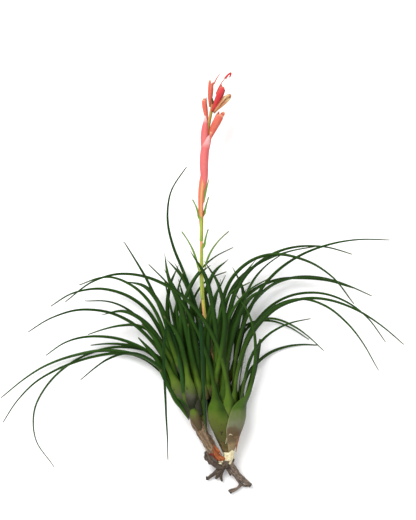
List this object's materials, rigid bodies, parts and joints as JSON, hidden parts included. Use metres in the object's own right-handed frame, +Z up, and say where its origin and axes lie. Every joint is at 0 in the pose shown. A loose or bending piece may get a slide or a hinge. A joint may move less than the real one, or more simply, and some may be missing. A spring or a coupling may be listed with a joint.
{
  "type": "bare-rooted vriesea plant",
  "caption": "Bromeliad houseplant lifted bare-rooted: a leafy rosette with a coral flower spike, a smaller offset rosette on a woody stem, and short dark roots, lying on its side.",
  "frame": {"origin": "on the surface the plant lies on, under the middle of its outline seen from above", "axes": "+Y from the roots to the flower spike, +X to the right as the plant is looked down on, +Z up from the surface"},
  "size_m": [0.3992, 0.4152, 0.0847],
  "materials": {
    "main_foliage": "satin green leaf, paler and browner at the sheath",
    "offset_foliage": "satin green leaf, grey-brown scurf at the sheath",
    "flower_stem": "smooth yellow-green stem",
    "stem_bract": "thin green bract with a tan margin",
    "spike_bract": "coral pink bract with a pale bloom",
    "floret": "coral petal with a cream edge",
    "pale_stem": "cream fresh stem tissue",
    "dry_sheath": "dry red-brown papery shred",
    "bark": "fibrous dark bark",
    "root": "rough grey-brown root"
  },
  "bodies": {
    "root": {"main_leaf_01": "main_foliage", "main_leaf_02": "main_foliage", "main_leaf_03": "main_foliage", "main_leaf_04": "main_foliage", "main_leaf_05": "main_foliage", "main_leaf_06": "main_foliage", "main_leaf_07": "main_foliage", "main_leaf_08": "main_foliage", "main_leaf_09": "main_foliage", "main_leaf_10": "main_foliage", "main_leaf_11": "main_foliage", "main_leaf_12": "main_foliage", "main_leaf_13": "main_foliage", "main_leaf_14": "main_foliage", "main_leaf_15": "main_foliage", "main_leaf_16": "main_foliage", "main_leaf_17": "main_foliage", "main_leaf_18": "main_foliage", "main_leaf_19": "main_foliage", "main_leaf_20": "main_foliage", "main_leaf_21": "main_foliage", "offset_leaf_01": "offset_foliage", "offset_leaf_02": "offset_foliage", "offset_leaf_03": "offset_foliage", "offset_leaf_04": "offset_foliage", "offset_leaf_05": "offset_foliage", "offset_leaf_06": "offset_foliage", "offset_leaf_07": "offset_foliage", "offset_leaf_08": "offset_foliage", "offset_leaf_09": "offset_foliage", "offset_leaf_10": "offset_foliage", "offset_leaf_11": "offset_foliage", "offset_leaf_12": "offset_foliage", "offset_leaf_13": "offset_foliage", "offset_leaf_14": "offset_foliage", "offset_leaf_15": "offset_foliage", "offset_leaf_16": "offset_foliage", "offset_leaf_17": "offset_foliage", "flower_stem": "flower_stem", "stem_bract_1": "stem_bract", "stem_bract_2": "stem_bract", "stem_bract_3": "stem_bract", "stem_bract_4": "stem_bract", "stem_bract_5": "stem_bract", "spike_bract_1": "spike_bract", "spike_bract_2": "spike_bract", "spike_bract_3": "spike_bract", "floret_1": "floret", "floret_2": "floret", "floret_3": "floret", "floret_4": "floret", "floret_5": "floret", "main_stem": "pale_stem", "rootstock": "bark", "offset_stem": "bark", "root_collar": "bark", "torn_sheath": "dry_sheath", "root_long": "root", "root_side": "root", "root_short": "root"}
  },
  "joints": []
}
